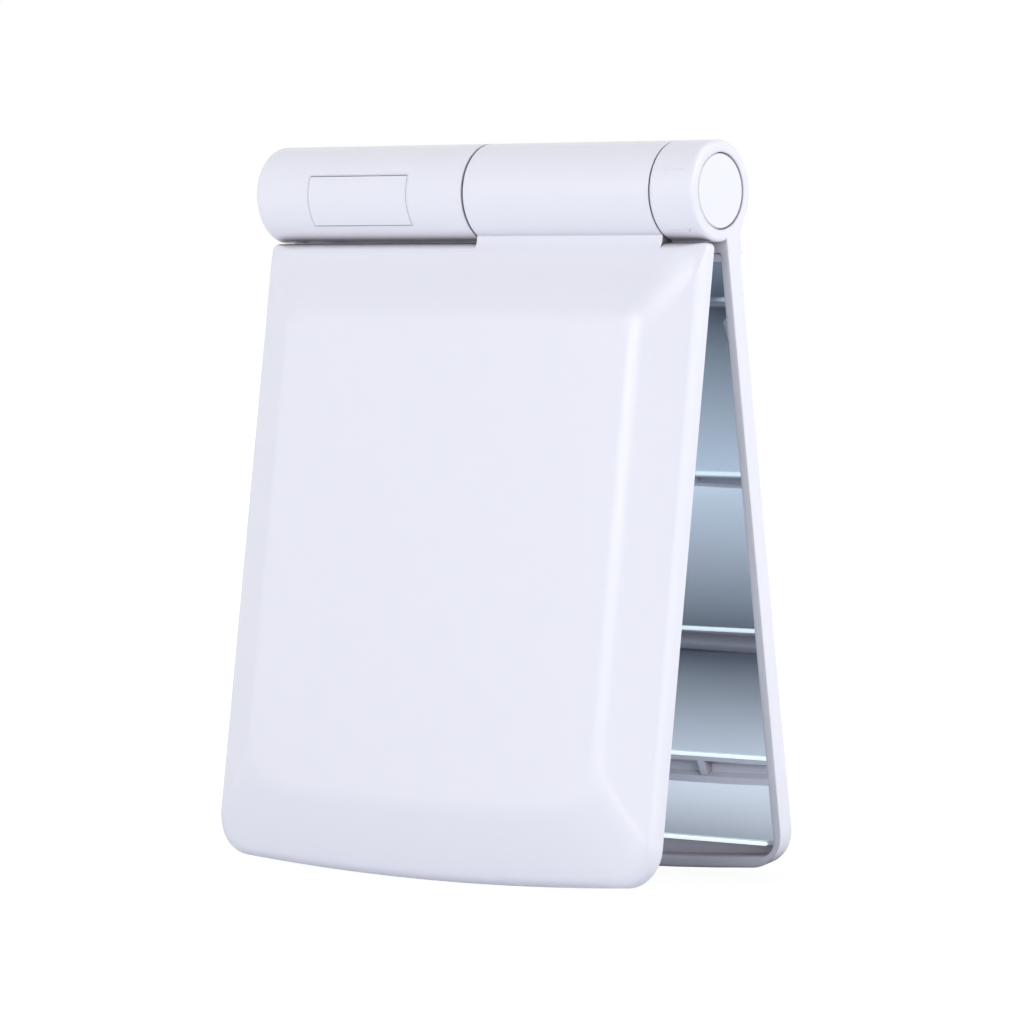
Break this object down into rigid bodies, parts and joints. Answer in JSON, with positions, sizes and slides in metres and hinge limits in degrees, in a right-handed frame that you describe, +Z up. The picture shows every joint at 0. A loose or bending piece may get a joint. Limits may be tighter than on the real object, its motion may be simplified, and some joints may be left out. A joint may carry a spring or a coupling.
{
  "type": "lighted compact mirror",
  "caption": "Folding pocket mirror with lamps: two mirrored leaves on a barrel hinge, a push button in its end.",
  "frame": {"origin": "on the floor, under the middle of the bounding box of the mirror as it stands open", "axes": "+X along the hinge barrel towards the push button, -Y out of the domed front leaf, +Z up"},
  "size_m": [0.0886, 0.0427, 0.1177],
  "materials": {
    "white_plastic": "glossy moulded, faint lilac white",
    "button_plastic": "satin moulded white",
    "inner_plastic": "plain moulded",
    "black_plastic": "plain moulded",
    "mirror_glass": "silvered, faint blue green tint",
    "foam_tape": "double-sided foam tape",
    "cell_steel": "plated steel can",
    "contact_steel": "nickel plated spring steel",
    "screw_steel": "zinc plated",
    "rubber_ring": "matt black",
    "circuit_board": "white solder mask",
    "lamp_chip": "phosphor dome in a white body",
    "lens_plastic": "frosted clear acrylic",
    "wire_cover": "insulated wire"
  },
  "bodies": {
    "rear_leaf": {"rear_shell": "white_plastic", "rear_mirror": "mirror_glass", "rear_mirror_tape": "foam_tape", "battery_cradle": "inner_plastic", "battery_cells": "cell_steel", "contact_plate": "contact_steel", "contact_strip": "contact_steel", "contact_spring": "contact_steel", "power_leads": "wire_cover", "hinge_bush": "inner_plastic", "friction_ring_left": "rubber_ring", "friction_ring_right": "rubber_ring", "button_housing": "inner_plastic", "switch_body": "black_plastic", "switch_board": "circuit_board", "button_spring": "contact_steel"},
    "front_leaf": {"front_cover": "white_plastic", "front_frame": "white_plastic", "lit_mirror": "mirror_glass", "front_mirror_tape": "foam_tape", "led_lenses": "lens_plastic", "led_board_left": "circuit_board", "led_board_right": "circuit_board", "led_emitters": "lamp_chip", "led_resistors": "black_plastic", "led_leads": "wire_cover", "frame_screws": "screw_steel"},
    "button": {"push_button": "button_plastic", "switch_plunger": "inner_plastic"},
    "battery_door": {"battery_door": "white_plastic"}
  },
  "joints": [
    {"name": "leaf_hinge", "type": "hinge", "parent": "rear_leaf", "child": "front_leaf", "pos_m": [0, 0.00036, 0.10969], "axis": [-1, 0, 0], "range_deg": [-17.25, 162.75]},
    {"name": "button_press", "type": "slide", "parent": "rear_leaf", "child": "button", "axis": [-1, 0, 0], "range_m": [0, 0.0008], "stiffness_N_per_m": 1500, "springref_m": -0.0006, "deforming": ["button_spring"]},
    {"name": "door_lift", "type": "slide", "parent": "rear_leaf", "child": "battery_door", "axis": [0, -0.9887, -0.15], "range_m": [0, 0.012]}
  ]
}
